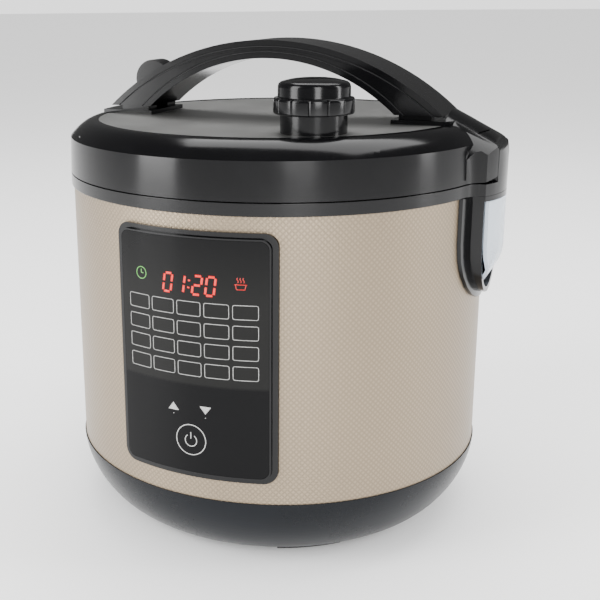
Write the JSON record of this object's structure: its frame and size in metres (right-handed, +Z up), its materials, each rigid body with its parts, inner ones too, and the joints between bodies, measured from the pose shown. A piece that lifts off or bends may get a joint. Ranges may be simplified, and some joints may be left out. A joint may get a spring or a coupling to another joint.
{
  "type": "electric multicooker",
  "caption": "Round electric multicooker with a hinged lid, an arch handle, a tall touch panel, a steam valve and a clear condensate cup.",
  "frame": {"origin": "on the body's vertical axis, in the plane the feet stand on", "axes": "+Z up, -Y towards the control panel, +X towards the hinge and condensate cup"},
  "size_m": [0.2855, 0.2755, 0.3092],
  "materials": {
    "shell": "embossed satin champagne metal",
    "black": "glossy black plastic",
    "panel": "glossy touch face",
    "display": "dark red display block",
    "base": "fine matt anthracite",
    "plate": "brushed grey metal",
    "rubber": "black rubber",
    "clear": "clear smoked plastic",
    "steel": "plain steel",
    "aluminium": "rolled aluminium",
    "cast_aluminium": "cast and turned aluminium",
    "pot": "dark non-stick coating",
    "lever": "grey moulded plastic",
    "liner": "pale grey plastic",
    "silicone": "pale silicone rubber",
    "board": "green circuit board",
    "wire": "insulated leads"
  },
  "bodies": {
    "base": {"base_housing": "base", "rubber_feet": "rubber", "base_screws": "steel", "support_posts": "steel", "power_inlet": "base", "power_board": "board", "internal_wires": "wire", "outer_shell": "shell", "top_ring": "black", "control_panel_frame": "black", "control_panel_face": "panel", "display_module": "display", "control_board": "board", "heat_shield": "aluminium", "heating_plate": "cast_aluminium", "heater_standoffs": "steel", "thermal_fuse": "steel", "side_heater": "steel", "sensor_bracket": "steel", "sensor_spring": "steel", "cooking_pot": "pot", "latch_catch": "steel", "condensate_housing": "black", "hinge_pin": "steel", "hinge_spring": "steel"},
    "lid": {"lid_ring": "black", "lid_plate": "plate", "lid_liner": "liner", "lid_screws": "steel", "inner_lid": "aluminium", "lid_seal": "silicone", "inner_lid_grommet": "silicone", "steam_duct": "liner", "valve_gasket": "silicone", "steam_valve_body": "black", "handle_top": "black", "handle_underside": "black", "handle_screws": "steel", "latch_pin": "steel"},
    "valve_cap": {"steam_valve_cap": "black"},
    "button": {"release_button": "black"},
    "lever": {"latch_lever": "lever"},
    "cup": {"condensate_cup": "clear"},
    "sensor": {"temperature_sensor": "aluminium"}
  },
  "joints": [
    {"name": "lid_hinge", "type": "hinge", "parent": "base", "child": "lid", "pos_m": [0.1375, 0, 0.244], "axis": [0, 1, 0], "range_deg": [0, 85]},
    {"name": "release_button_press", "type": "slide", "parent": "lid", "child": "button", "axis": [0.5338, 0, -0.8456], "range_m": [0, 0.003], "stiffness_N_per_m": 400, "springref_m": -0.003},
    {"name": "latch_lever_turn", "type": "hinge", "parent": "lid", "child": "lever", "pos_m": [-0.1255, 0, 0.246], "axis": [0, 1, 0], "range_deg": [0, 6]},
    {"name": "cup_slide", "type": "slide", "parent": "base", "child": "cup", "axis": [1, 0, 0], "range_m": [0, 0.045]},
    {"name": "valve_cap_turn", "type": "hinge", "parent": "lid", "child": "valve_cap", "pos_m": [0.0515, -0.077, 0.28], "axis": [0, 0, 1], "range_deg": [0, 30]},
    {"name": "sensor_press", "type": "slide", "parent": "base", "child": "sensor", "axis": [0, 0, -1], "range_m": [0, 0.003], "stiffness_N_per_m": 300, "springref_m": -0.003, "deforming": ["sensor_spring"]}
  ],
  "couplings": [
    {"joint": "latch_lever_turn", "follows": "release_button_press", "rad_per_m": 34.9}
  ]
}
